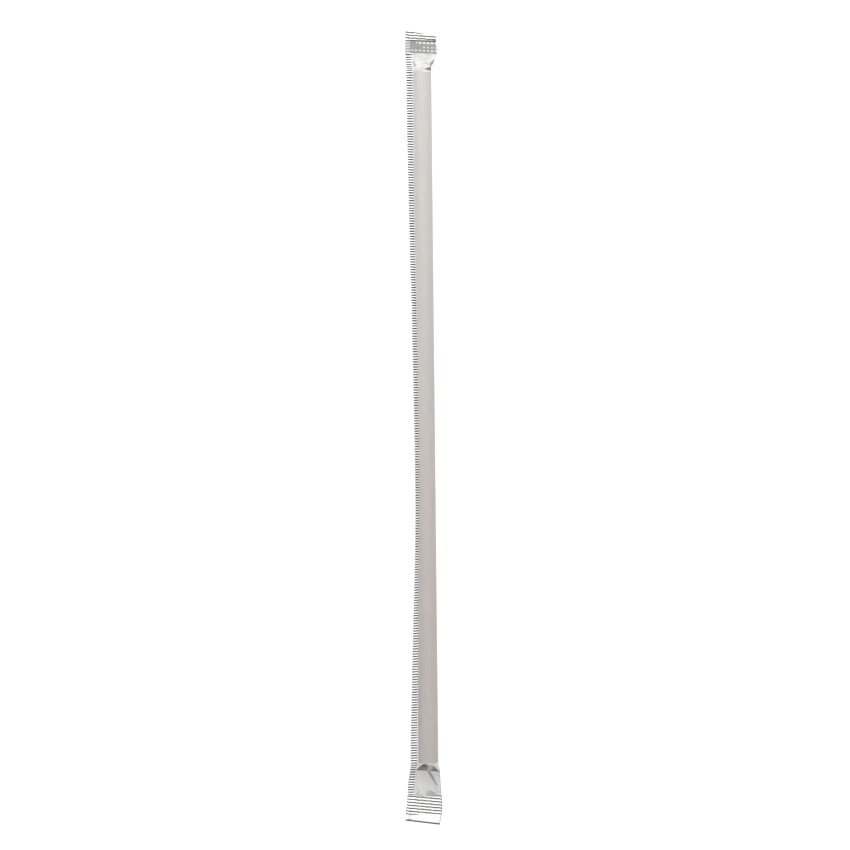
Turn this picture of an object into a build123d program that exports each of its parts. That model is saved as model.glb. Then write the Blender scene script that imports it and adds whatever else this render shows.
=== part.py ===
"""A drinking straw sealed in a clear film wrapper, lying on a flat surface.

The straw is a plain straight tube, cut square at both ends. The wrapper is one strip of
film, folded round the straw along its right side, crimped to itself along the left side
in a narrow fin, and crimped flat across both ends. Between the straw and each end seal
the film closes like the end of a pillow box. The fin leans up beside the straw and lies
down towards each end, the tail tab lies flat, and the head tab is bent into a low tent.

Units are millimetres. +Y runs along the straw towards the head tab, +Z is up, and the
origin is the centre of the footprint, on the surface that the wrapper rests on.
"""

from build123d import *
import math
import os

# Straw
straw_length = 210.0
straw_diameter = 6.0
straw_wall = 0.2

# Film
film_thickness = 0.06
film_gap = 0.05  # room between the straw and the film, all round
film_end_room = 0.4  # how far the film runs on past each end of the straw before it narrows

# Crimped fin along the left side
fin_width = 2.1
fin_thickness = 0.2
fin_lean = 40.0  # degrees up from level, along the straw

# Tail end, where the film falls steeply off the straw and then lies flat
tail_neck = 9.6  # where the film starts to narrow, to the seal
tail_drop = 2.0  # how far out the film is mostly down
tail_drop_power = 1.6
tail_gather = 1.45  # width lost from the flattened film in small pleats
tail_offset = -0.2  # middle of the flattened film, from the straw's axis
tail_fin_width = 2.75
tail_tab_length = 8.8
tail_edge_slant = 1.4  # how much further the right corner reaches than the left
tail_side_drift = 0.6  # how far the tab wanders to the left

# Head end, where the film slopes down evenly to a bent tab
head_neck = 5.4
head_drop = 3.2
head_drop_power = 2.0
head_gather = 2.2
head_offset = 1.12
head_fin_width = 2.35
head_tab_rise = 3.7  # run of the tab from the seal up to its bend
head_tab_fall = 3.1  # run from the bend to the end
head_tab_height = 2.4
head_edge_slant = 1.8  # how much shorter the right corner is than the left
head_side_drift = 0.2

# Both ends
tab_thickness = 0.25  # crimped film, from ridge to ridge
slit_height = 0.1  # what is left of the hollow where the seal begins
neck_sections = 13  # sections down each neck, with straight film from one to the next

# Worked out from the sizes above
bore_radius = straw_diameter / 2 - straw_wall
hollow_radius = straw_diameter / 2 + film_gap
film_radius = hollow_radius + film_thickness
flat_film_width = math.pi * film_radius
flat_half_height = slit_height / 2 + film_thickness
tail_half_width = (flat_film_width - tail_gather) / 2
head_half_width = (flat_film_width - head_gather) / 2
head_tab_run = head_tab_rise + head_tab_fall
tube_length = straw_length + 2 * film_end_room
wrapper_length = tail_tab_length + tail_neck + tube_length + head_neck + head_tab_run
tail_end_y = -wrapper_length / 2
tail_seal_y = tail_end_y + tail_tab_length
tube_tail_y = tail_seal_y + tail_neck
tube_head_y = tube_tail_y + tube_length
straw_tail_y = tube_tail_y + film_end_room
head_seal_y = tube_head_y + head_neck
head_bend_y = head_seal_y + head_tab_rise
head_end_y = wrapper_length / 2
tail_left = tail_offset - tail_half_width - tail_fin_width
tail_right = tail_offset + tail_half_width
head_left = head_offset - head_half_width - head_fin_width
head_right = head_offset + head_half_width
footprint_left = min(tail_left - tail_side_drift, head_left)
footprint_right = max(tail_right, head_right + head_side_drift)
axis_x = -(footprint_left + footprint_right) / 2  # centres the footprint on the origin


def ease(share):
    """0 to 1 with level ends."""
    held = min(max(share, 0.0), 1.0)
    return held * held * (3 - 2 * held)


def film_section(y):
    """(middle from the straw's axis, half width, half height) of the film's outside at y."""
    if y < tube_tail_y:
        out, neck, drop, power = tube_tail_y - y, tail_neck, tail_drop, tail_drop_power
        offset, half_width = tail_offset, tail_half_width
    elif y > tube_head_y:
        out, neck, drop, power = y - tube_head_y, head_neck, head_drop, head_drop_power
        offset, half_width = head_offset, head_half_width
    else:
        return 0.0, film_radius, film_radius
    spread = ease(out / neck)
    height = math.exp(-((out / drop) ** power))
    half_height = flat_half_height + (film_radius - flat_half_height) * height
    middle = offset * spread
    return middle, film_radius + (half_width - film_radius) * spread, half_height


def cross_plane(x, y, z):
    """A plane across the straw, with its own x along X and its own y along Z."""
    return Plane(origin=(axis_x + x, y, z), x_dir=(1, 0, 0), z_dir=(0, -1, 0))


def film_face(y, inset):
    """The film's section at y, drawn in from its outside by the inset."""
    middle, half_width, half_height = film_section(y)
    outline = Ellipse(half_width - inset, half_height - inset)
    return cross_plane(middle, y, half_height) * outline


def between(start, stop, count):
    """Evenly spaced places from start to stop, both included."""
    return [start + (stop - start) * i / (count - 1) for i in range(count)]


def stations():
    """Where the sections stand: evenly down each neck, with one straight stretch between."""
    tail = between(tail_seal_y, tube_tail_y, neck_sections)
    return tail + between(tube_head_y, head_seal_y, neck_sections)


def film_body(inset):
    """The film's outer form, or with an inset the hollow in it, without fin and tabs."""
    return loft([film_face(y, inset) for y in stations()], ruled=True)


def along_necks(y):
    """How far y is down each neck, as shares of the (tail, head) neck's length."""
    return ease((tube_tail_y - y) / tail_neck), ease((y - tube_head_y) / head_neck)


def fin_face(y):
    """The fin's section: a thin strip that starts in the film's wall and leans up to the left.

    It lies down and grows wider along each neck, where the end seal has crushed it flat.
    """
    middle, half_width, half_height = film_section(y)
    tail_share, head_share = along_necks(y)
    angle = math.radians(180 - fin_lean * (1 - tail_share - head_share))
    tail_growth = (tail_fin_width - fin_width) * tail_share
    head_growth = (head_fin_width - fin_width) * head_share
    along = (math.cos(angle), math.sin(angle))
    across = (-along[1] * fin_thickness / 2, along[0] * fin_thickness / 2)
    root = (
        middle + (half_width - film_thickness) * along[0],
        half_height + (half_height - film_thickness) * along[1],
    )
    reach = film_thickness + fin_width + tail_growth + head_growth
    tip = (root[0] + reach * along[0], root[1] + reach * along[1])
    corners = [
        (root[0] + across[0], root[1] + across[1]),
        (tip[0] + across[0], tip[1] + across[1]),
        (tip[0] - across[0], tip[1] - across[1]),
        (root[0] - across[0], root[1] - across[1]),
    ]
    return cross_plane(0, y, 0) * make_face(Polyline(*corners, close=True))


def fin():
    """The crimped strip along the left side, from one end seal to the other."""
    return loft([fin_face(y) for y in stations()], ruled=True)


def tail_tab():
    """The flat crimped end at the tail, a little askew."""
    outline = Polyline(
        (tail_left, tail_seal_y),
        (tail_left - tail_side_drift, tail_end_y + tail_edge_slant),
        (tail_right - tail_side_drift, tail_end_y),
        (tail_right, tail_seal_y),
        close=True,
    )
    return extrude(Pos(axis_x, 0, 0) * make_face(outline), tab_thickness)


def head_tab():
    """The crimped end at the head, bent up and down again across its middle."""
    lower = [(head_seal_y, 0), (head_bend_y, head_tab_height), (head_end_y, 0)]
    upper = [(y, z + tab_thickness) for y, z in reversed(lower)]
    profile = Plane.YZ * make_face(Polyline(*lower, *upper, close=True))
    sheet = extrude(profile, footprint_right - footprint_left, both=True)
    outline = Polyline(
        (head_left, head_seal_y),
        (head_left + head_side_drift, head_end_y),
        (head_right + head_side_drift, head_end_y - head_edge_slant),
        (head_right, head_seal_y),
        close=True,
    )
    plan = extrude(make_face(outline), head_tab_height + tab_thickness)
    return Pos(axis_x, 0, 0) * (sheet & plan)


def straw():
    """The tube itself, held by the film with the same small room all round."""
    ring = Circle(straw_diameter / 2) - Circle(bore_radius)
    return extrude(cross_plane(0, straw_tail_y, film_radius) * ring, -straw_length)


def wrapper():
    """The whole film as one closed shell round the straw's hollow."""
    return film_body(0) + fin() + tail_tab() + head_tab() - film_body(film_thickness)


os.makedirs("parts", exist_ok=True)
export_step(straw(), "parts/straw.step")
export_step(wrapper(), "parts/wrapper.step")
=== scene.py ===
"""A drinking straw sealed in a clear film wrapper: its finishes, crimps and creases, and a plain studio."""

import math

import bpy
import numpy as np
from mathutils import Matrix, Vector


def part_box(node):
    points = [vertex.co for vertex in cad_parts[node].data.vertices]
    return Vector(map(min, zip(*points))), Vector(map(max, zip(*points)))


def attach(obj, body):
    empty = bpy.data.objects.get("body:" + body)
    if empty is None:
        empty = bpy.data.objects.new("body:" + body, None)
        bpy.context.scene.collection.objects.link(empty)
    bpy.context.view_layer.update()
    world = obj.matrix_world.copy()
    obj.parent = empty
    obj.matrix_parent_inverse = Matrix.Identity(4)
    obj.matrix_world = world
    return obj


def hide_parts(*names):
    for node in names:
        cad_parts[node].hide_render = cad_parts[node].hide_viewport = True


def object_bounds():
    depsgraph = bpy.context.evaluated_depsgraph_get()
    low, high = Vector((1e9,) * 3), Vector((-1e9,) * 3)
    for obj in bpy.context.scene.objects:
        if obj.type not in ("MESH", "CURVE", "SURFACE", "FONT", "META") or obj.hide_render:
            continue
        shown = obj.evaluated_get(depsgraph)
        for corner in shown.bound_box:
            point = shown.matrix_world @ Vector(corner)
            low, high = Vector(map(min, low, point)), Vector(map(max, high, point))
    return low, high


bl_info = {
    "name": "Wrapped Straw",
    "version": (1, 0, 0),
    "blender": (4, 5, 0),
    "location": "3D View > Sidebar > Wrapped Straw",
    "description": "Builds the crimped film wrapper round a straw, with its finishes and a studio",
    "category": "Object",
}

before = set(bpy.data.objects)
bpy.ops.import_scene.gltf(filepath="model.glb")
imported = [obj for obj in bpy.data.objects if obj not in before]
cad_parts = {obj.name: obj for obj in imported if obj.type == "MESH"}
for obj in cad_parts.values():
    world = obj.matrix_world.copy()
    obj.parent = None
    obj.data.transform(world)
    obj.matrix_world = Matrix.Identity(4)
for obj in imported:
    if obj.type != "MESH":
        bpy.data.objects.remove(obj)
CAD_LOW, CAD_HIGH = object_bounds()
MM = 0.001
FULL_TURN = 2 * math.pi
BODY = "root"

# The straw's place, in millimetres, read from the frame
STRAW_LOW, STRAW_HIGH = (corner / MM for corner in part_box("straw"))
AXIS_X = (STRAW_LOW.x + STRAW_HIGH.x) / 2
AXIS_Z = (STRAW_LOW.z + STRAW_HIGH.z) / 2
STRAW_RADIUS = (STRAW_HIGH.x - STRAW_LOW.x) / 2
TAIL_Y = STRAW_LOW.y
HEAD_Y = STRAW_HIGH.y
STRAW_LENGTH = HEAD_Y - TAIL_Y
TAIL_OUT = TAIL_Y - CAD_LOW.y / MM  # from the straw's tail to the end of the film
HEAD_OUT = CAD_HIGH.y / MM - HEAD_Y

# Across is measured from the straw's axis, and out from the straw's own end
TAIL_SEAL_OUT = 10.4
HEAD_SEAL_OUT = 5.8
HEAD_BEND_OUT = 9.5
HEAD_BEND_HEIGHT = 2.4
SHEET_LIFT = 0.16  # middle of a flat seal, above the floor
FLOOR_GAP = 0.02  # least height of the film's sleeve
SEAL_FLOOR_GAP = 0.005  # least height of a seal
BASE_HEIGHT = 0.03  # the underside of a flat neck

# Where a neck starts to flatten, and how far it takes
FLATTEN_START = 0.2
TAIL_FLATTEN_RUN = 2.4
HEAD_FLATTEN_RUN = 3.2

# Where creases fade in and out again, each as a start and a run
TAIL_CREASES_RISE, TAIL_CREASES_FALL = (-0.3, 0.6), (9.6, 0.9)
HEAD_CREASES_RISE, HEAD_CREASES_FALL = (-1.6, 0.6), (5.0, 0.8)
CREASE_ROUNDING = 0.03
# A crease's line is painted shade along its top
CREASE_SHADE_START = 0.78  # nearness to a crease at which its line starts
# Painted shade along the film's right-hand edge in the tail and head necks, and its width
TAIL_EDGE_SHADE = 0.7
HEAD_EDGE_SHADE = 0.12
EDGE_WIDTH = 0.3

# Rows of the film's sleeve: overlap with each seal, and how far along the straw the rows stay fine
TAIL_OVERLAP, HEAD_OVERLAP = 0.5, 0.3
TAIL_FINE_ROWS, HEAD_FINE_ROWS = 1, 2.5

# The fin past the straw: where its tip ends up across, and how far that takes
TAIL_TIP = (-6.45, 8.5)
HEAD_TIP = (-4.9, 4.0)
FIN_FLATTEN = (-0.3, 2.6)
ROWS_PER_CRIMP = 8
FIN_COLUMNS = 9
SEAL_ROWS_PER_CRIMP = 9
SEAL_COLUMNS = 96
# The dark line on each crimp is painted shade
CRIMP_SHADE_PHASE = 0.75  # share of a crimp at which its dark line lies
CRIMP_SHADE_SOFTNESS = 0.09

# Share of the way from tail to head, lean of the fin's root, lean of the fin itself
FIN_STATIONS = [
    (0.0, 4, 0),
    (0.08, 22, 25),
    (0.15, 33, 34),
    (0.22, 40, 46),
    (0.29, 45, 57),
    (0.37, 53, 57),
    (0.46, 56, 49),
    (0.56, 55, 41),
    (0.66, 51, 38),
    (0.76, 42, 37),
    (0.86, 38, 31),
    (0.94, 39, 12),
    (1.0, 39, 3),
]

# Out, left edge, right edge, height of the edges, rise of the top above them
TAIL_NECK = [
    (0.0, -3.33, 3.06, 3.1, 3.0),
    (0.9, -3.5, 3.2, 2.3, 2.75),
    (1.8, -3.7, 3.3, 1.5, 1.9),
    (2.8, -3.86, 3.45, 0.9, 1.2),
    (5.0, -4.0, 3.55, 0.55, 1.0),
    (8.4, -4.35, 3.75, 0.35, 0.9),
    (9.6, -4.45, 3.85, 0.24, 0.4),
    (11.0, -4.5, 3.87, 0.16, 0.05),
]
HEAD_NECK = [
    (0.0, -2.6, 3.06, 3.1, 3.0),
    (0.8, -2.75, 3.25, 2.5, 2.6),
    (1.8, -2.85, 3.6, 1.7, 1.9),
    (3.0, -2.9, 3.9, 0.95, 1.2),
    (4.5, -2.88, 4.4, 0.45, 0.55),
    (6.2, -2.8, 4.75, 0.3, 0.06),
]

# Out, left edge, right edge of each seal
TAIL_EDGES = [
    (9.5, -6.45, 3.9),
    (11.5, -6.6, 4.0),
    (14.0, -6.85, 4.1),
    (16.5, -7.1, 3.85),
    (20.0, -7.25, 3.15),
]
HEAD_EDGES = [
    (5.0, -4.9, 4.7),
    (7.0, -4.95, 4.85),
    (9.0, -4.9, 4.5),
    (11.0, -4.85, 4.75),
    (13.2, -4.8, 4.7),
]

# Painted shade on fold facets in the necks: corners as (across, out), darkness, softness
TAIL_FOLD_SHADE = [
    (
        [(-3.8, 2.6), (-2.5, 0.9), (-1.4, 0.1), (-0.2, 0.4), (-0.1, 1.7), (-0.6, 2.8), (-2.4, 2.7)],
        1.0,
        0.18,
    ),
    ([(0.7, 2.7), (1.4, 0.7), (2.3, 1.6), (3.25, 3.6), (2.5, 3.2), (1.3, 2.9)], 0.95, 0.18),
    ([(-0.3, 0.3), (1.5, 0.6), (0.8, 2.9), (-0.6, 3.0)], 0.58, 0.3),
    ([(-0.7, 2.7), (0.5, 2.9), (2.9, 7.3), (2.5, 7.3), (0.9, 5.2)], 0.66, 0.3),
    ([(-0.6, 9.7), (-0.3, 9.0), (0.9, 8.9), (3.2, 10.4), (-0.8, 10.9)], 0.46, 0.4),
    ([(1.0, 4.9), (3.0, 8.8), (3.1, 10.3), (1.8, 8.0)], 0.2, 0.4),
    ([(2.2, 4.0), (3.4, 4.2), (3.3, 4.7), (2.0, 4.5)], 0.25, 0.3),
    ([(-4.0, 9.6), (-1.4, 10.9), (3.2, 11.2), (3.2, 11.5), (-1.6, 11.3), (-4.1, 9.9)], 0.8, 0.15),
    ([(-4.0, 2.8), (-3.3, 2.8), (-3.7, 7.0), (-2.4, 9.6), (-3.0, 9.8), (-4.1, 7.2)], 0.16, 0.3),
]
HEAD_FOLD_SHADE = [
    ([(0.8, 0.3), (3.1, -0.05), (3.1, 1.5), (2.0, 0.9)], 0.95, 0.22),
    ([(2.6, 1.2), (3.2, 1.1), (4.1, 4.2), (3.2, 3.3), (2.5, 2.6)], 0.85, 0.25),
    ([(0.3, 2.3), (2.6, 1.5), (2.7, 2.4), (1.2, 3.0)], 0.42, 0.3),
    ([(-2.7, 0.6), (-2.2, 0.7), (-1.4, 1.6), (-2.0, 3.4), (-2.6, 3.3)], 0.6, 0.3),
    ([(-2.8, 4.2), (-1.9, 3.6), (-1.4, 5.2), (-2.7, 5.8)], 0.3, 0.4),
    ([(-1.6, 5.8), (-0.6, 3.9), (2.2, 3.9), (4.2, 5.2), (4.5, 5.9)], 0.24, 0.4),
    ([(0.0, 3.2), (2.8, 3.5), (2.8, 3.7), (0.0, 3.5)], 0.25, 0.15),
    ([(-2.7, -0.2), (-1.2, 0.35), (1.0, 0.25), (1.0, 0.5), (-1.2, 0.65), (-2.7, 0.1)], 0.2, 0.2),
    ([(-2.6, -2.2), (-1.8, -1.4), (-1.9, -0.8), (-2.6, -1.5)], 0.2, 0.25),
]

# Rows of dimples on the head seal, each with a painted highlight: out, size, how far across the row starts
HEAD_DIMPLE_HIGHLIGHTS = ((6.7, 0.3, -2.9), (7.6, 0.24, 0.5), (8.85, 0.36, -1.5))

# Start and end as (across, out), lift, reach to either side, strength of the painted-shade line along the
# top
TAIL_CREASES = [
    ((0.5, -0.3), (0.5, 3.1), 1.1, 1.0, 0.0),
    ((-4.0, 2.75), (-0.8, 2.8), -0.55, 0.9, 0.35),
    ((1.2, 2.7), (3.0, 3.3), -0.5, 0.8, 0.3),
    ((0.45, 2.9), (2.7, 7.3), 0.75, 1.0, 1.0),
    ((-1.1, 3.3), (2.2, 9.2), -0.35, 0.8, 0.1),
    ((-3.4, 2.7), (-4.0, 7.2), 0.3, 0.9, 0.1),
    ((-4.1, 7.2), (-1.9, 10.3), 0.35, 0.8, 0.25),
    ((-1.9, 9.9), (3.4, 9.4), 0.3, 0.8, 0.3),
    ((1.6, 4.2), (3.3, 4.8), 0.25, 0.5, 0.1),
    ((-3.2, 4.6), (0.2, 6.6), 0.12, 0.7, 0.0),
]
HEAD_CREASES = [
    ((0.7, 0.35), (3.3, 0.25), -0.75, 0.9, 0.35),
    ((2.6, 1.6), (3.9, 2.9), -0.5, 0.7, 0.3),
    ((-0.3, 3.3), (3.8, 3.5), 0.45, 0.8, 0.0),
    ((0.2, 0.6), (0.3, 3.4), 0.45, 0.8, 0.0),
    ((-2.3, 0.3), (-1.7, 3.6), -0.45, 0.7, 0.3),
    ((-1.5, 5.5), (0.4, 3.6), 0.3, 0.7, 0.1),
    ((-2.4, -1.4), (-1.7, 0.0), 0.25, 0.4, 0.0),
    ((1.6, 5.4), (3.8, 3.6), -0.25, 0.7, 0.1),
]
# Small creases in the film along the straw: (across, millimetres from the tail) twice, then lift, reach and
# the strength of a painted-shade line along the top
TUBE_CREASES = [
    ((0.9, 118.2), (1.5, 120.4), 0.16, 0.35, 0.3),
    ((1.5, 120.4), (2.8, 119.6), -0.14, 0.35, 0.3),
    ((-0.1, 151.0), (0.2, 151.8), 0.14, 0.25, 0.4),
    ((2.2, 86.2), (2.7, 86.9), 0.12, 0.25, 0.4),
    ((0.2, 80.6), (0.9, 79.9), 0.12, 0.25, 0.2),
    ((1.1, 72.6), (1.8, 71.4), 0.1, 0.25, 0.2),
    ((0.4, 96.0), (1.2, 97.1), 0.06, 0.3, 0.25),
    ((1.4, 100.2), (2.0, 99.4), 0.06, 0.3, 0.2),
    ((-0.6, 141.0), (0.5, 140.2), 0.06, 0.3, 0.2),
    ((0.3, 163.5), (1.2, 164.3), 0.05, 0.3, 0.2),
]


class FilmSizes(bpy.types.PropertyGroup):
    slack: bpy.props.FloatProperty(
        name="Slack", description="Room between straw and film, in millimetres", default=0.05, min=0.0
    )
    root_reach: bpy.props.FloatProperty(
        name="Root reach",
        description="How far the fin's root stands off the film, in millimetres",
        default=0.28,
    )
    column_count: bpy.props.IntProperty(
        name="Columns", description="Points round the film", default=96, min=24
    )
    row_step: bpy.props.FloatProperty(
        name="Row step", description="Distance between rows along the straw, in millimetres", default=0.45
    )
    neck_step: bpy.props.FloatProperty(
        name="Neck step", description="Distance between rows in a neck, in millimetres", default=0.12
    )


class CrimpSizes(bpy.types.PropertyGroup):
    fin_width: bpy.props.FloatProperty(
        name="Fin width", description="Width of the side seam, in millimetres", default=2.15
    )
    fin_pitch: bpy.props.FloatProperty(
        name="Fin pitch",
        description="Distance between crimps on the side seam, in millimetres",
        default=0.776,
    )
    tail_pitch: bpy.props.FloatProperty(
        name="Tail pitch",
        description="Distance between crimps on the tail seal, in millimetres",
        default=0.9,
    )
    head_pitch: bpy.props.FloatProperty(
        name="Head pitch",
        description="Distance between crimps on the head seal, in millimetres",
        default=0.95,
    )
    dimple_pitch: bpy.props.FloatProperty(
        name="Dimple pitch",
        description="Distance between dimples across a seal, in millimetres",
        default=1.24,
    )
    depth: bpy.props.FloatProperty(
        name="Depth", description="Height of a crimp above the sheet's middle, in millimetres", default=0.12
    )
    thickness: bpy.props.FloatProperty(
        name="Thickness", description="Thickness of two welded films, in millimetres", default=0.09
    )


class Finishes(bpy.types.PropertyGroup):
    straw: bpy.props.FloatVectorProperty(
        name="Straw", description="Colour of the straw", subtype="COLOR", default=(0.77, 0.755, 0.735)
    )
    film: bpy.props.FloatVectorProperty(
        name="Film", description="Colour of the clear film", subtype="COLOR", default=(0.56, 0.555, 0.54)
    )
    weld: bpy.props.FloatVectorProperty(
        name="Weld", description="Colour of the crimped film", subtype="COLOR", default=(0.9, 0.9, 0.89)
    )
    # Painted shade, drawn as a line down one side of each crimp
    crimp_shade_color: bpy.props.FloatVectorProperty(
        name="Groove", description="Colour down in a crimp", subtype="COLOR", default=(0.03, 0.03, 0.027)
    )
    film_cover: bpy.props.FloatProperty(
        name="Film cover",
        description="How much one film hides",
        subtype="FACTOR",
        default=0.28,
        min=0,
        max=1,
    )
    weld_cover: bpy.props.FloatProperty(
        name="Weld cover",
        description="How much a crimped seam hides",
        subtype="FACTOR",
        default=0.5,
        min=0,
        max=1,
    )


class StudioSettings(bpy.types.PropertyGroup):
    view_width: bpy.props.FloatProperty(
        name="View width", description="Width that the camera takes in", unit="LENGTH", default=0.2584
    )
    lens: bpy.props.FloatProperty(name="Lens", description="Focal length in millimetres", default=100.0)
    roll: bpy.props.FloatProperty(
        name="Roll", description="Turn of the camera", subtype="ANGLE", default=math.radians(-0.58)
    )
    sky: bpy.props.FloatProperty(name="Sky", description="Soft light from all round", default=0.52)
    key: bpy.props.FloatProperty(
        name="Key", description="Power of the softbox beyond the head", subtype="POWER", default=2.3
    )


def smooth_path(table, column, at):
    """A smooth curve through one column of a table whose first column rises."""
    xs = np.array([row[0] for row in table], float)
    ys = np.array([row[column] for row in table], float)
    slopes = np.gradient(ys, xs)
    held = np.clip(at, xs[0], xs[-1])
    i = np.clip(np.searchsorted(xs, held, side="right") - 1, 0, len(xs) - 2)
    span = xs[i + 1] - xs[i]
    t = (held - xs[i]) / span
    rise = (1 + 2 * t) * (1 - t) ** 2 * ys[i] + t * t * (3 - 2 * t) * ys[i + 1]
    return rise + span * (t * (1 - t) ** 2 * slopes[i] - t * t * (1 - t) * slopes[i + 1])


def ease(share):
    """Smooths a share: level at 0 and at 1, and held beyond them."""
    held = np.clip(share, 0.0, 1.0)
    return held * held * (3 - 2 * held)


def ramp(value, start, run):
    """Rises smoothly from 0 at a start to 1 a run later."""
    return ease((value - start) / run)


def distance_to_line(across, out, start, end):
    """How far each point is from a straight line, as its two parts."""
    (ax, ay), (bx, by) = start, end
    dx, dy = bx - ax, by - ay
    t = np.clip(((across - ax) * dx + (out - ay) * dy) / (dx * dx + dy * dy), 0, 1)
    return across - ax - t * dx, out - ay - t * dy


def creased(across, out, creases):
    """(lift, painted-shade line) that a list of creases gives at each point."""
    lift, line = np.zeros_like(across), np.zeros_like(across)
    for start, end, height, reach, strength in creases:
        x, y = distance_to_line(across, out, start, end)
        near = np.clip(1 - np.sqrt(x**2 + y**2 + CREASE_ROUNDING**2) / reach, 0, 1)
        lift += height * near
        on_shade_line = np.clip((near - CREASE_SHADE_START) / (1 - CREASE_SHADE_START), 0, 1)
        line = np.maximum(line, strength * on_shade_line)
    return lift, line


def paint_fold_shade(across, out, shade_patches):
    """How dark the painted shade on the necks' fold facets makes each point, from 0 to 1."""
    shade = np.zeros_like(across)
    for corners, dark, soft in shade_patches:
        inside = np.zeros(across.shape, bool)
        away = np.full(across.shape, np.inf)
        for (ax, ay), (bx, by) in zip(corners, corners[1:] + corners[:1]):
            away = np.minimum(away, np.hypot(*distance_to_line(across, out, (ax, ay), (bx, by))))
            if ay != by:
                inside ^= ((ay > out) != (by > out)) & (across < ax + (bx - ax) * (out - ay) / (by - ay))
        reach = np.where(inside, away, -away)
        shade = np.maximum(shade, dark * ease(0.5 + reach / soft))
    return shade


def crumples(seed, count, width, start, stop):
    """Fine random creases between two distances out, each with a faint painted-shade line, the same on
    every run.
    """
    rng = np.random.default_rng(seed)
    made = []
    for _ in range(count):
        across, out = rng.uniform(-width, width), rng.uniform(start, stop)
        angle, length = rng.uniform(0, math.pi), rng.uniform(0.5, 1.6)
        end = (across + length * math.cos(angle), out + length * math.sin(angle))
        lift, reach = rng.uniform(-0.16, 0.16), rng.uniform(0.25, 0.5)
        made.append(((across, out), end, lift, reach, 0.1))
    return made


def loft_rings(name, rings, values):
    """A closed mesh through rings of points in millimetres, with a cap on each end."""
    rows, cols = rings.shape[:2]
    here = np.arange(rows * cols).reshape(rows, cols)
    onward = np.roll(here, -1, axis=1)
    quads = np.stack([here[:-1], onward[:-1], onward[1:], here[1:]], axis=-1).reshape(-1, 4)
    faces = quads.tolist() + [here[0][::-1].tolist(), here[-1].tolist()]
    mesh = bpy.data.meshes.new(name)
    mesh.from_pydata((rings.reshape(-1, 3) * MM).tolist(), [], faces)
    mesh.polygons.foreach_set("use_smooth", [True] * len(quads) + [False, False])
    for label, value in values.items():
        attribute = mesh.attributes.new(label, "FLOAT", "POINT")
        attribute.data.foreach_set("value", value.reshape(-1).astype(np.float32))
    mesh.update()
    piece = bpy.data.objects.new(name, mesh)
    bpy.context.scene.collection.objects.link(piece)
    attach(piece, BODY)
    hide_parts("wrapper")
    return piece


def root_radius(sizes):
    """The fin's root, out from the straw's axis."""
    return STRAW_RADIUS + sizes.slack + sizes.root_reach


def round_section(turn, y, sizes):
    """The film round the straw: a circle with straight sides running out to the fin's root."""
    share = (y - TAIL_Y) / STRAW_LENGTH
    root = math.pi - np.radians(smooth_path(FIN_STATIONS, 1, share))
    radius = STRAW_RADIUS + sizes.slack
    spread = math.acos(radius / root_radius(sizes))
    away = np.minimum(turn, 1 - turn) * FULL_TURN
    reach = radius / np.cos(np.maximum(spread - away, 0))
    angle = root - turn * FULL_TURN
    return reach * np.cos(angle), AXIS_Z + reach * np.sin(angle)


def flat_section(turn, out, neck):
    """The film past the straw: a low closed lens from its left edge to its right."""
    left, right = smooth_path(neck, 1, out), smooth_path(neck, 2, out)
    middle, rise = smooth_path(neck, 3, out), smooth_path(neck, 4, out)
    swing = np.sin(turn * FULL_TURN)
    across = (left + right) / 2 - (right - left) / 2 * np.cos(turn * FULL_TURN)
    above = middle + rise * np.abs(swing) ** 0.8
    below = middle - (middle - BASE_HEIGHT) * np.abs(swing) ** 0.6
    return across, np.where(swing > 0, above, below)


def along_straw(step, neck_step):
    """Rows from the tail seal to the head seal, close together in the necks."""
    tail_stop, head_start = TAIL_Y + TAIL_FINE_ROWS, HEAD_Y - HEAD_FINE_ROWS
    tail = np.arange(TAIL_Y - TAIL_SEAL_OUT - TAIL_OVERLAP, tail_stop, neck_step)
    middle = np.arange(tail_stop, head_start, step)
    head = np.arange(head_start, HEAD_Y + HEAD_SEAL_OUT + HEAD_OVERLAP, neck_step)
    return np.concatenate([tail, middle, head])[:, None]


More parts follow.
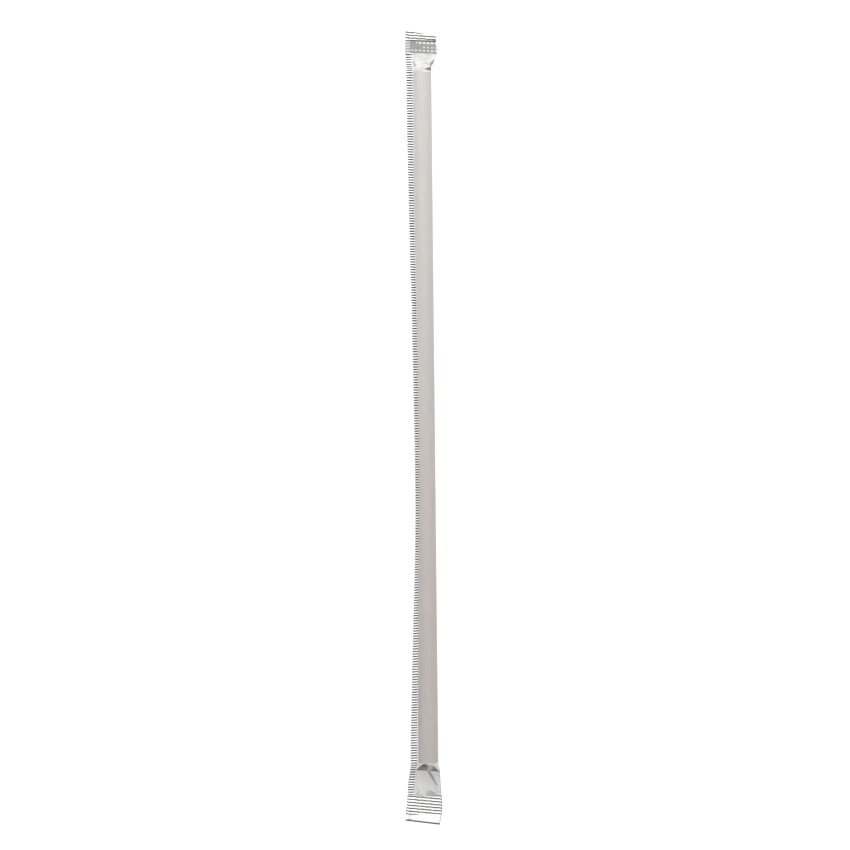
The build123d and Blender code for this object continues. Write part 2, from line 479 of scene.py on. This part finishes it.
def film_rings(sizes):
    """Rings of the film's sleeve with its creases, and how dark each point is."""
    turn = (np.arange(sizes.column_count) / sizes.column_count)[None, :]
    y = along_straw(sizes.row_step, sizes.neck_step)
    tail_out, head_out = TAIL_Y - y, y - HEAD_Y
    round_x, round_z = round_section(turn, y, sizes)
    tail_x, tail_z = flat_section(turn, tail_out, TAIL_NECK)
    head_x, head_z = flat_section(turn, head_out, HEAD_NECK)
    to_tail = ramp(tail_out, FLATTEN_START, TAIL_FLATTEN_RUN)
    to_head = ramp(head_out, FLATTEN_START, HEAD_FLATTEN_RUN)
    to_round = 1 - to_tail - to_head
    x = round_x * to_round + tail_x * to_tail + head_x * to_head
    z = round_z * to_round + tail_z * to_tail + head_z * to_head

    # Creases lift the upper side of the film and draw thin lines of painted shade on it
    upper = ramp(z, AXIS_Z * 0.2 * to_round, 0.6) * ease(np.sin(turn * FULL_TURN) / 0.3) * (turn < 0.5)
    tail_lift, tail_crease_shade = creased(x, tail_out, TAIL_CREASES + crumples(3, 26, 3.6, 1.0, 9.5))
    head_lift, head_crease_shade = creased(x, head_out, HEAD_CREASES + crumples(8, 20, 3.6, 0.3, 5.0))
    tube_lift, tube_crease_shade = creased(x, -tail_out, TUBE_CREASES)
    in_tail = ramp(tail_out, *TAIL_CREASES_RISE) * (1 - ramp(tail_out, *TAIL_CREASES_FALL))
    in_head = ramp(head_out, *HEAD_CREASES_RISE) * (1 - ramp(head_out, *HEAD_CREASES_FALL))
    z = z + upper * (tail_lift * in_tail + head_lift * in_head + tube_lift)
    line = tail_crease_shade * in_tail + head_crease_shade * in_head + tube_crease_shade

    # Painted shade on the fold facets in the necks and along the film's right-hand edge
    tail_fold_shade = paint_fold_shade(x, tail_out, TAIL_FOLD_SHADE) * (tail_out > -0.5)
    head_fold_shade = paint_fold_shade(x, head_out, HEAD_FOLD_SHADE) * (head_out > -3)
    inward = x.max(axis=1, keepdims=True) - x
    edge = ease(1 - inward / EDGE_WIDTH) * (to_tail * TAIL_EDGE_SHADE + to_head * HEAD_EDGE_SHADE)
    shade = np.maximum(upper * np.maximum.reduce([line, tail_fold_shade, head_fold_shade]), edge)
    points = np.stack([AXIS_X + x, np.broadcast_to(y, x.shape), np.maximum(z, FLOOR_GAP)], axis=-1)
    return points, shade


def new_material(name):
    """A new node material, with its nodes and links."""
    material = bpy.data.materials.new(name)
    material.use_nodes = True
    return material, material.node_tree.nodes, material.node_tree.links


def attribute_value(nodes, name):
    """A value stored on the mesh's points."""
    node = nodes.new("ShaderNodeAttribute")
    node.attribute_name = name
    return node.outputs["Fac"]


def spread(nodes, links, value, low, high):
    """A value from 0 to 1, spread between two others."""
    node = nodes.new("ShaderNodeMapRange")
    node.inputs["To Min"].default_value = low
    node.inputs["To Max"].default_value = high
    links.new(value, node.inputs["Value"])
    return node.outputs["Result"]


def mixed_color(nodes, links, blend, factor, first, second):
    """Two colours mixed. Each of the last three is a socket to link or a plain value."""
    node = nodes.new("ShaderNodeMix")
    node.data_type = "RGBA"
    node.blend_type = blend
    for label, value in (("Factor", factor), ("A", first), ("B", second)):
        if isinstance(value, bpy.types.NodeSocket):
            links.new(value, node.inputs[label])
        else:
            node.inputs[label].default_value = value
    return node.outputs["Result"]


def add_bump(nodes, links, height, strength, distance):
    """Feeds a height into the shader's normal."""
    bump = nodes.new("ShaderNodeBump")
    bump.inputs["Strength"].default_value = strength
    bump.inputs["Distance"].default_value = distance
    links.new(height, bump.inputs["Height"])
    links.new(bump.outputs["Normal"], nodes["Principled BSDF"].inputs["Normal"])


def add_group(nodes, tree, values):
    """Places a node group with its own values."""
    group = nodes.new("ShaderNodeGroup")
    group.node_tree = tree
    for name, value in values.items():
        group.inputs[name].default_value = value
    return group


def film_material(looks):
    """Thin clear film: mostly see-through, with a faint tint that drifts, and painted shade on its creases,
    fold facets and edges.
    """
    material, nodes, links = new_material("clear_film")
    shader = nodes["Principled BSDF"]
    shader.inputs["IOR"].default_value = 1.5
    tint = add_group(nodes, tint_group(), {"Color": (*looks.film, 1), "Scale": 55.0, "Strength": 0.32})
    shade = attribute_value(nodes, "shade")
    # Stored painted shade turns the film towards a dark colour and hides more of what lies behind
    color = mixed_color(nodes, links, "MIX", shade, tint.outputs["Color"], (0.12, 0.1, 0.095, 1))
    links.new(color, shader.inputs["Base Color"])
    links.new(spread(nodes, links, shade, looks.film_cover, 0.96), shader.inputs["Alpha"])
    links.new(spread(nodes, links, tint.outputs["Drift"], 0.16, 0.34), shader.inputs["Roughness"])
    add_bump(nodes, links, tint.outputs["Drift"], 0.18, 0.0002)
    return material


def straw_material(looks):
    """Pale drawn plastic: fine streaks along its length, and a tone that turns pinker and a little darker
    towards the tail.
    """
    material, nodes, links = new_material("straw_plastic")
    shader = nodes["Principled BSDF"]
    shader.inputs["IOR"].default_value = 1.49
    tint = add_group(nodes, tint_group(), {"Color": (*looks.straw, 1), "Scale": 90.0, "Strength": 0.12})
    place = nodes.new("ShaderNodeTexCoord")
    stretch = nodes.new("ShaderNodeMapping")
    stretch.inputs["Scale"].default_value = (1, 0.04, 1)
    links.new(place.outputs["Object"], stretch.inputs["Vector"])
    streaks = nodes.new("ShaderNodeTexNoise")
    streaks.inputs["Scale"].default_value = 2600.0
    streaks.inputs["Detail"].default_value = 3.0
    links.new(stretch.outputs["Vector"], streaks.inputs["Vector"])

    # The tone changes over the middle of the straw
    along = nodes.new("ShaderNodeSeparateXYZ")
    links.new(place.outputs["Object"], along.inputs["Vector"])
    share = nodes.new("ShaderNodeMapRange")
    share.interpolation_type = "SMOOTHSTEP"
    share.inputs["From Min"].default_value = -0.03
    share.inputs["From Max"].default_value = 0.045
    links.new(along.outputs["Y"], share.inputs["Value"])
    tail_tone, head_tone = (1.0, 0.93, 0.925, 1), (0.99, 0.98, 0.965, 1)
    tone = mixed_color(nodes, links, "MIX", share.outputs["Result"], tail_tone, head_tone)
    warmed = mixed_color(nodes, links, "MULTIPLY", 1.0, tint.outputs["Color"], tone)
    streak_shade = spread(nodes, links, streaks.outputs["Fac"], 0.9, 1.1)
    color = mixed_color(nodes, links, "MULTIPLY", 1.0, warmed, streak_shade)
    links.new(color, shader.inputs["Base Color"])
    links.new(spread(nodes, links, streaks.outputs["Fac"], 0.38, 0.5), shader.inputs["Roughness"])
    add_bump(nodes, links, streaks.outputs["Fac"], 0.1, 0.00005)
    return material


def weld_material(name, looks, crimp):
    """Two films welded and crimped: milky and faintly glowing in place of light passing through, with a
    painted-shade line down one side of each crimp.
    """
    material, nodes, links = new_material(name)
    shader = nodes["Principled BSDF"]
    shader.inputs["IOR"].default_value = 1.5
    shader.inputs["Emission Strength"].default_value = 0.3  # stands in for light passing through the seam
    tint = add_group(nodes, tint_group(), {"Color": (*looks.weld, 1), "Scale": 120.0, "Strength": 0.1})
    lines = add_group(nodes, crimp_shade_group(), crimp)
    crimped = math_node(nodes, links, "SUBTRACT", 1.0, attribute_value(nodes, "plain"))
    crimped.node.use_clamp = True
    kept = math_node(nodes, links, "MULTIPLY", lines.outputs["Line"], crimped)
    shade = math_node(nodes, links, "MAXIMUM", kept, attribute_value(nodes, "shade"))
    color = mixed_color(nodes, links, "MIX", shade, tint.outputs["Color"], (*looks.crimp_shade_color, 1))
    links.new(color, shader.inputs["Base Color"])
    links.new(color, shader.inputs["Emission Color"])
    links.new(spread(nodes, links, shade, looks.weld_cover, 0.97), shader.inputs["Alpha"])
    links.new(spread(nodes, links, tint.outputs["Drift"], 0.22, 0.42), shader.inputs["Roughness"])
    return material


def math_node(nodes, links, operation, first, second=None):
    """A sum on one or two values. Each is a socket to link or a plain number."""
    node = nodes.new("ShaderNodeMath")
    node.operation = operation
    for socket, value in zip(node.inputs, (first, second)):
        if isinstance(value, (int, float)):
            socket.default_value = value
        elif value is not None:
            links.new(value, socket)
    return node.outputs["Value"]


def new_group(name, inputs, outputs):
    """A new node group with its sockets, as its tree, input node and output node."""
    tree = bpy.data.node_groups.new(name, "ShaderNodeTree")
    for label, kind, value in inputs:
        socket = tree.interface.new_socket(label, in_out="INPUT", socket_type=kind)
        socket.default_value = value
    for label, kind in outputs:
        tree.interface.new_socket(label, in_out="OUTPUT", socket_type=kind)
    return tree, tree.nodes.new("NodeGroupInput"), tree.nodes.new("NodeGroupOutput")


def tint_group():
    """A colour that drifts a little towards rose and green, as thin film does."""
    if "film_tint" in bpy.data.node_groups:
        return bpy.data.node_groups["film_tint"]
    tree, inside, outside = new_group(
        "film_tint",
        [
            ("Color", "NodeSocketColor", (0.8, 0.8, 0.8, 1)),
            ("Scale", "NodeSocketFloat", 60.0),
            ("Strength", "NodeSocketFloat", 0.2),
        ],
        [("Color", "NodeSocketColor"), ("Drift", "NodeSocketFloat")],
    )
    nodes, links = tree.nodes, tree.links
    place = nodes.new("ShaderNodeTexCoord")
    drift = nodes.new("ShaderNodeTexNoise")
    drift.inputs["Detail"].default_value = 4.0
    links.new(place.outputs["Object"], drift.inputs["Vector"])
    links.new(inside.outputs["Scale"], drift.inputs["Scale"])
    hues = nodes.new("ShaderNodeValToRGB")
    rose, cream, green = (0.97, 0.9, 0.91, 1), (0.97, 0.96, 0.93, 1), (0.92, 0.97, 0.93, 1)
    stops = [(0.3, rose), (0.5, cream), (0.7, green)]
    hues.color_ramp.elements.new(0.5)
    for element, (position, color) in zip(hues.color_ramp.elements, stops):
        element.position = position
        element.color = color
    links.new(drift.outputs["Fac"], hues.inputs["Fac"])
    strength, color = inside.outputs["Strength"], inside.outputs["Color"]
    tinted = mixed_color(nodes, links, "MULTIPLY", strength, color, hues.outputs["Color"])
    links.new(tinted, outside.inputs["Color"])
    links.new(drift.outputs["Fac"], outside.inputs["Drift"])
    return tree


def crimp_shade_group():
    """A mask that is 1 down one side of each crimp, where painted shade goes. Lengths are in millimetres.
    """
    if "crimp_shade_lines" in bpy.data.node_groups:
        return bpy.data.node_groups["crimp_shade_lines"]
    lengths = ["Start", "Pitch", "Slant", "Wave", "Wave Length", "Width"]
    tree, inside, outside = new_group(
        "crimp_shade_lines",
        [(label, "NodeSocketFloat", 1.0) for label in lengths],
        [("Line", "NodeSocketFloat")],
    )
    nodes, links = tree.nodes, tree.links

    def combine(operation, first, second=None):
        return math_node(nodes, links, operation, first, second)

    place = nodes.new("ShaderNodeTexCoord")
    axes = nodes.new("ShaderNodeSeparateXYZ")
    links.new(place.outputs["Object"], axes.inputs["Vector"])
    x = combine("DIVIDE", axes.outputs["X"], MM)
    y = combine("DIVIDE", axes.outputs["Y"], MM)
    angle = combine("DIVIDE", combine("MULTIPLY", x, FULL_TURN), inside.outputs["Wave Length"])
    wave = combine("MULTIPLY", combine("SINE", angle), inside.outputs["Wave"])
    slanted = combine("ADD", y, combine("MULTIPLY", x, inside.outputs["Slant"]))
    distance = combine("SUBTRACT", combine("ADD", slanted, wave), inside.outputs["Start"])
    phase = combine("FRACT", combine("DIVIDE", distance, inside.outputs["Pitch"]))
    away = combine("ABSOLUTE", combine("SUBTRACT", phase, CRIMP_SHADE_PHASE))
    uneven = nodes.new("ShaderNodeTexNoise")
    uneven.inputs["Scale"].default_value = 1100.0
    uneven.inputs["Detail"].default_value = 1.0
    links.new(place.outputs["Object"], uneven.inputs["Vector"])
    width = combine("MULTIPLY", inside.outputs["Width"], combine("ADD", uneven.outputs["Fac"], 0.45))
    band = nodes.new("ShaderNodeMapRange")
    band.interpolation_type = "SMOOTHSTEP"
    links.new(away, band.inputs["Value"])
    links.new(width, band.inputs["From Min"])
    links.new(combine("ADD", width, CRIMP_SHADE_SOFTNESS), band.inputs["From Max"])
    band.inputs["To Min"].default_value = 1.0
    band.inputs["To Max"].default_value = 0.0
    links.new(band.outputs["Result"], outside.inputs["Line"])
    return tree


def fin_edges(y, sizes, crimps):
    """The fin's root and tip at each y, each as (across, height)."""
    share = (y - TAIL_Y) / STRAW_LENGTH
    root_lean = np.radians(smooth_path(FIN_STATIONS, 1, share))
    fin_lean = np.radians(smooth_path(FIN_STATIONS, 2, share))
    reach = root_radius(sizes)
    root_x, root_z = -reach * np.cos(root_lean), AXIS_Z + reach * np.sin(root_lean)
    tip_x = root_x - crimps.fin_width * np.cos(fin_lean)
    tip_z = root_z + crimps.fin_width * np.sin(fin_lean)
    for out, neck, (tip_end, run) in (
        (TAIL_Y - y, TAIL_NECK, TAIL_TIP),
        (y - HEAD_Y, HEAD_NECK, HEAD_TIP),
    ):
        past = ramp(out, *FIN_FLATTEN)
        root_x = root_x + (smooth_path(neck, 1, out) - root_x) * past
        root_z = root_z + (smooth_path(neck, 3, out) - root_z) * past
        tip_x = tip_x + (tip_end - tip_x) * ease(out / run)
        tip_z = tip_z + (smooth_path(neck, 3, out) - tip_z) * past
    return root_x, root_z, tip_x, tip_z


def strip_rings(left, right, normal, offset, thickness):
    """Closed rings of a thin strip between two edges, pushed along its normal by an offset."""
    share = np.linspace(0, 1, offset.shape[1])[None, :, None]
    upper = left[:, None] + (right - left)[:, None] * share
    upper = upper + normal[:, None] * offset[..., None]
    lower = upper - normal[:, None] * thickness
    return np.concatenate([upper, lower[:, ::-1]], axis=1)


def mirrored(values):
    """Values for a strip's upper points, repeated for its lower points."""
    return np.concatenate([values, values[:, ::-1]], axis=1)


def side_fin(sizes, crimps):
    """The crimped seam down the left side, from one end seal to the other."""
    tail_overlap, head_overlap, root_tuck = 0.2, 0.1, 0.05
    start, stop = TAIL_Y - TAIL_SEAL_OUT - tail_overlap, HEAD_Y + HEAD_SEAL_OUT + head_overlap
    y = np.arange(start, stop, crimps.fin_pitch / ROWS_PER_CRIMP)
    root_x, root_z, tip_x, tip_z = fin_edges(y, sizes, crimps)
    tip = np.stack([AXIS_X + tip_x, y, tip_z], axis=-1)
    root = np.stack([AXIS_X + root_x + root_tuck, y, root_z], axis=-1)
    along = (root - tip) / np.linalg.norm(root - tip, axis=1)[:, None]
    normal = np.stack([-along[:, 2], np.zeros_like(y), along[:, 0]], axis=-1)

    # Each crimp has its own height, and all of them stop short of the fin's two edges
    rng = np.random.default_rng(5)
    knots = np.arange(y[0], y[-1] + 1, 0.8)
    uneven = np.interp(y, knots, rng.uniform(0.7, 1.15, len(knots)))
    ridge = np.cos(FULL_TURN * (y - TAIL_Y) / crimps.fin_pitch) * crimps.depth * uneven
    columns = np.linspace(0, 1, FIN_COLUMNS)
    offset = ridge[:, None] * (ease(columns / 0.16) * ease((1 - columns) / 0.1))[None, :]
    rings = strip_rings(tip, root, normal, offset, crimps.thickness)
    plain = np.broadcast_to(1 - ease(columns / 0.12) * ease((1 - columns) / 0.08), offset.shape)
    # Painted shade along the fin's outer edge
    rim_shade = np.broadcast_to(0.16 * (columns < 0.06), offset.shape)
    return loft_rings("side_fin", rings, {"plain": mirrored(plain), "shade": mirrored(rim_shade)})


def seal(name, side, first, last, edges, shape, crimps):
    """A crimped end, from its first to its last distance out, each given at the left and the right."""
    pitch, slant = shape["pitch"], shape["slant"]
    rows = int(abs(last[0] - first[0]) / (pitch / SEAL_ROWS_PER_CRIMP)) + 2
    v = np.linspace(0, 1, rows)[:, None]  # 0 at the neck, 1 at the end
    s = np.linspace(0, 1, SEAL_COLUMNS)[None, :]  # 0 at the left, 1 at the right
    out_left, out_right = (a + (b - a) * v for a, b in zip(first, last))
    out = out_left * (1 - s) + out_right * s
    x = AXIS_X + smooth_path(edges, 1, out) * (1 - s) + smooth_path(edges, 2, out) * s
    y = (TAIL_Y - out) if side == "tail" else (HEAD_Y + out)
    wave = shape["wave"] * np.sin(math.pi * x / crimps.dimple_pitch)
    phase = (y + slant * x + wave - shape["start"]) / pitch
    dimple = 0.72 + 0.28 * np.cos(FULL_TURN * x / crimps.dimple_pitch)
    sides = ease(s / 0.03) * ease((1 - s) / 0.03)
    plain, shade = shape["look"](x - AXIS_X, out, v, s)
    ridge = np.cos(FULL_TURN * phase) * crimps.depth * dimple * sides * (1 - plain)
    upper = np.stack([x, y, shape["lift"](out, v) + ridge], axis=-1)
    lower = upper - np.array([0, 0, crimps.thickness])
    rings = np.concatenate([upper, lower[:, ::-1]], axis=1)
    rings[..., 2] = np.maximum(rings[..., 2], SEAL_FLOOR_GAP)
    values = {"plain": mirrored(plain), "shade": mirrored(shade)}
    if side == "tail":  # rings run from low to high y, so that faces look outwards
        rings = rings[::-1]
        values = {label: value[::-1] for label, value in values.items()}
    return loft_rings(name, rings, values)


def tail_look(across, out, v, s):
    """Where the tail seal is left plain, where painted shade darkens its rolled lip and its edges, and
    where a few marks are dark.
    """
    everywhere = np.zeros_like(across)
    plain = np.maximum(1 - ramp(out, 10.3, 0.5), ramp(out, 16.3, 0.2))
    # Painted shade on the lip, which bends down away from the light, and along the right and left edges
    lip = 0.97 * ramp(v, 0.944, 0.014)
    right = 0.55 * ramp(s, 0.965, 0.02)
    left = 0.16 * ease((0.02 - s) / 0.01)
    on_fin = np.abs(across + 5.9) < 0.5
    pale_mark = 0.35 * (on_fin & (np.abs(out - 16.75) < 0.12))
    dark_mark = 0.7 * (on_fin & (np.abs(out - 17.75) < 0.13))
    edges = np.maximum.reduce([lip + everywhere, right + everywhere, left + everywhere])
    return plain, np.maximum.reduce([edges, pale_mark, dark_mark])


def head_look(across, out, v, s):
    """Where the bent head seal is plain, and the painted shade on its rising face, with painted highlights
    on rows of dimples.
    """
    level = out + 0.05 * across
    face = ramp(level, 5.75, 0.25) * (1 - ramp(level, 9.5, 0.2))
    # Painted highlights, one on each dimple, lighten the face's painted shade
    dimple_highlights = np.zeros_like(across)
    dot_pitch = 1.22
    for row, size, first_across in HEAD_DIMPLE_HIGHLIGHTS:
        near = np.abs((across + 0.35 + dot_pitch / 2) % dot_pitch - dot_pitch / 2)
        from_middle = np.hypot(near * 0.8, (level - row) * 1.25)
        dimple_highlights = np.maximum(dimple_highlights, ease((size - from_middle) / 0.14 + 0.5) * (across > first_across))
    # The face rises towards the bend and so faces away from the light; it gets painted shade, paler in
    # stripes over the fin
    over_fin = ease((-3.15 - across) / 0.2)
    stripes = 0.5 + 0.5 * np.cos(FULL_TURN * (out - 6.1) / 0.776)
    face_shade = 0.62 - over_fin * 0.42 * stripes
    # Painted shade along the bend and along the fin's edge
    bend_shade = 0.97 * ease(1.3 - np.abs(level - 9.4) / 0.25)
    fin_edge_shade = 0.85 * ease(1 - np.abs(across + 3.1) / 0.3) * face
    shade = np.maximum.reduce([face * face_shade * (1 - 0.9 * dimple_highlights), bend_shade, fin_edge_shade])
    return np.maximum(face, ramp(v, 0.97, 0.02)), shade


def tail_shape(crimps):
    """How the flat tail seal is crimped and how it lies."""

    def lift(out, v):
        return SHEET_LIFT + 0.3 * ramp(out, 11, 3) * (1 - ramp(v, 0.93, 0.07))

    return {
        "pitch": crimps.tail_pitch,
        "start": TAIL_Y - 11.0,
        "slant": 0.1,
        "wave": 0.04,
        "look": tail_look,
        "lift": lift,
    }


def head_shape(crimps):
    """How the head seal is crimped, and how it rises to its bend and falls again."""

    def lift(out, v):
        rise = (out - HEAD_SEAL_OUT) / (HEAD_BEND_OUT - HEAD_SEAL_OUT)
        fall = (HEAD_OUT + 0.5 - out) / 3.4
        return SHEET_LIFT + HEAD_BEND_HEIGHT * np.minimum(rise, fall).clip(0)

    return {
        "pitch": crimps.head_pitch,
        "start": HEAD_Y + 10.2 - CRIMP_SHADE_PHASE * crimps.head_pitch,
        "slant": 0.09,
        "wave": 0.05,
        "look": head_look,
        "lift": lift,
    }


def crimp_values(shape, crimps, width):
    """A seal's own crimps, as values for the node group that draws them."""
    return {
        "Start": shape["start"],
        "Pitch": shape["pitch"],
        "Slant": shape["slant"],
        "Wave": shape["wave"],
        "Wave Length": 2 * crimps.dimple_pitch,
        "Width": width,
    }


class STRAWWRAP_OT_straw(bpy.types.Operator):
    """Gives the straw its drawn plastic finish"""

    bl_idname = "straw_wrap.straw"
    bl_label = "Finish Straw"

    def execute(self, context):
        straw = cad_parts["straw"]
        material = straw_material(context.scene.straw_finishes)
        straw.data.materials.clear()
        straw.data.materials.append(material)
        return {"FINISHED"}


class STRAWWRAP_OT_film(bpy.types.Operator):
    """Builds the clear film round the straw and its creased necks"""

    bl_idname = "straw_wrap.film"
    bl_label = "Build Film"

    def execute(self, context):
        scene = context.scene
        rings, line = film_rings(scene.straw_film)
        film = loft_rings("film_sleeve", rings, {"shade": line})
        film.data.materials.append(film_material(scene.straw_finishes))
        return {"FINISHED"}


class STRAWWRAP_OT_fin(bpy.types.Operator):
    """Builds the crimped seam along the wrapper's left side"""

    bl_idname = "straw_wrap.fin"
    bl_label = "Build Side Fin"

    def execute(self, context):
        scene = context.scene
        crimps = scene.straw_crimps
        fin = side_fin(scene.straw_film, crimps)
        lines = {
            "Start": TAIL_Y,
            "Pitch": crimps.fin_pitch,
            "Slant": 0.0,
            "Wave": 0.0,
            "Wave Length": 1.0,
            "Width": 0.21,
        }
        fin.data.materials.append(weld_material("crimped_fin", scene.straw_finishes, lines))
        return {"FINISHED"}


class STRAWWRAP_OT_seals(bpy.types.Operator):
    """Builds the flat crimped seal at the tail and the bent one at the head"""

    bl_idname = "straw_wrap.seals"
    bl_label = "Build End Seals"

    def execute(self, context):
        scene = context.scene
        crimps, looks = scene.straw_crimps, scene.straw_finishes
        shape = tail_shape(crimps)
        first, last = (9.7, 10.6), (18.2, TAIL_OUT + 0.75)
        tail = seal("tail_seal", "tail", first, last, TAIL_EDGES, shape, crimps)
        tail.data.materials.append(weld_material("crimped_tail", looks, crimp_values(shape, crimps, 0.15)))
        shape = head_shape(crimps)
        first, last = (HEAD_SEAL_OUT, HEAD_SEAL_OUT - 0.25), (HEAD_OUT + 0.45, HEAD_OUT - 1.3)
        head = seal("head_seal", "head", first, last, HEAD_EDGES, shape, crimps)
        head.data.materials.append(weld_material("crimped_head", looks, crimp_values(shape, crimps, 0.24)))
        return {"FINISHED"}


def studio_floor():
    """A plain white floor, brighter to the camera and in reflections than the light alone makes it."""
    reach = 1.5
    mesh = bpy.data.meshes.new("floor")
    corners = [(-reach, -reach, 0), (reach, -reach, 0), (reach, reach, 0), (-reach, reach, 0)]
    mesh.from_pydata(corners, [], [(0, 1, 2, 3)])
    floor = bpy.data.objects.new("floor", mesh)
    bpy.context.scene.collection.objects.link(floor)
    material, nodes, links = new_material("floor_white")
    shader = nodes["Principled BSDF"]
    shader.inputs["Base Color"].default_value = (0.8, 0.8, 0.8, 1)
    shader.inputs["Roughness"].default_value = 1.0
    shader.inputs["Specular IOR Level"].default_value = 0.0
    shader.inputs["Emission Color"].default_value = (1, 1, 1, 1)
    rays = nodes.new("ShaderNodeLightPath")
    seen = math_node(nodes, links, "MAXIMUM", rays.outputs["Is Camera Ray"], rays.outputs["Is Glossy Ray"])
    links.new(math_node(nodes, links, "MULTIPLY", seen, 0.62), shader.inputs["Emission Strength"])
    mesh.materials.append(material)


def studio_world(settings):
    """Soft white light from all round, seen as plain white by the camera."""
    world = bpy.data.worlds.new("soft_room")
    bpy.context.scene.world = world
    world.use_nodes = True
    nodes, links = world.node_tree.nodes, world.node_tree.links
    rays = nodes.new("ShaderNodeLightPath")
    camera_ray, transmission_ray = rays.outputs["Is Camera Ray"], rays.outputs["Is Transmission Ray"]
    seen = math_node(nodes, links, "MAXIMUM", camera_ray, transmission_ray)
    nodes["Background"].inputs["Color"].default_value = (1, 1, 1, 1)
    links.new(spread(nodes, links, seen, settings.sky, 1.0), nodes["Background"].inputs["Strength"])


def studio_light(settings):
    """A softbox beyond the head, aimed at the middle of the straw."""
    lamp = bpy.data.lights.new("head_softbox", "AREA")
    lamp.shape = "RECTANGLE"
    lamp.size, lamp.size_y = 0.4, 0.25
    lamp.energy = settings.key
    box = bpy.data.objects.new("head_softbox", lamp)
    box.location = (0.0, 0.42, 0.34)
    aim = Vector((0.0, 0.0, 0.0)) - box.location
    box.rotation_euler = aim.to_track_quat("-Z", "Y").to_euler()
    bpy.context.scene.collection.objects.link(box)


def studio_camera(settings):
    """A camera straight above the straw."""
    forward = 0.0006  # towards the head, from the middle of the wrapper
    camera = bpy.data.cameras.new("overhead")
    camera.lens = settings.lens
    camera.sensor_width = 36.0
    height = settings.view_width * settings.lens / camera.sensor_width
    eye = bpy.data.objects.new("overhead", camera)
    eye.location = (AXIS_X * MM, forward, AXIS_Z * MM + height)
    eye.rotation_euler = (0, 0, settings.roll)
    bpy.context.scene.collection.objects.link(eye)
    bpy.context.scene.camera = eye


class STRAWWRAP_OT_studio(bpy.types.Operator):
    """Sets a white floor, soft light and a camera that looks straight down"""

    bl_idname = "straw_wrap.studio"
    bl_label = "Set Up Studio"

    def execute(self, context):
        settings = context.scene.straw_studio
        studio_floor()
        studio_world(settings)
        studio_light(settings)
        studio_camera(settings)
        context.scene.view_settings.view_transform = "Standard"
        return {"FINISHED"}


OPERATORS = (
    STRAWWRAP_OT_straw,
    STRAWWRAP_OT_film,
    STRAWWRAP_OT_fin,
    STRAWWRAP_OT_seals,
    STRAWWRAP_OT_studio,
)


class STRAWWRAP_PT_panel(bpy.types.Panel):
    """Lists the steps that build the wrapped straw"""

    bl_idname = "STRAWWRAP_PT_panel"
    bl_label = "Wrapped Straw"
    bl_space_type = "VIEW_3D"
    bl_region_type = "UI"
    bl_category = "Wrapped Straw"

    def draw(self, context):
        for operator in OPERATORS:
            self.layout.operator(operator.bl_idname)
        for group in SETTINGS:
            settings = getattr(context.scene, group)
            for name in settings.bl_rna.properties.keys():
                if name not in {"rna_type", "name"}:
                    self.layout.prop(settings, name)


SETTINGS = {
    "straw_film": FilmSizes,
    "straw_crimps": CrimpSizes,
    "straw_finishes": Finishes,
    "straw_studio": StudioSettings,
}


def register():
    """Registers the classes and puts their settings on the scene."""
    for kind in (*SETTINGS.values(), *OPERATORS, STRAWWRAP_PT_panel):
        bpy.utils.register_class(kind)
    for name, kind in SETTINGS.items():
        setattr(bpy.types.Scene, name, bpy.props.PointerProperty(type=kind))


def unregister():
    """Takes off what register added."""
    for name in SETTINGS:
        delattr(bpy.types.Scene, name)
    for kind in reversed((*SETTINGS.values(), *OPERATORS, STRAWWRAP_PT_panel)):
        bpy.utils.unregister_class(kind)


def main():
    """Builds every piece and the studio."""
    register()
    bpy.ops.straw_wrap.straw()
    bpy.ops.straw_wrap.film()
    bpy.ops.straw_wrap.fin()
    bpy.ops.straw_wrap.seals()
    bpy.ops.straw_wrap.studio()


if __name__ == "__main__":
    main()
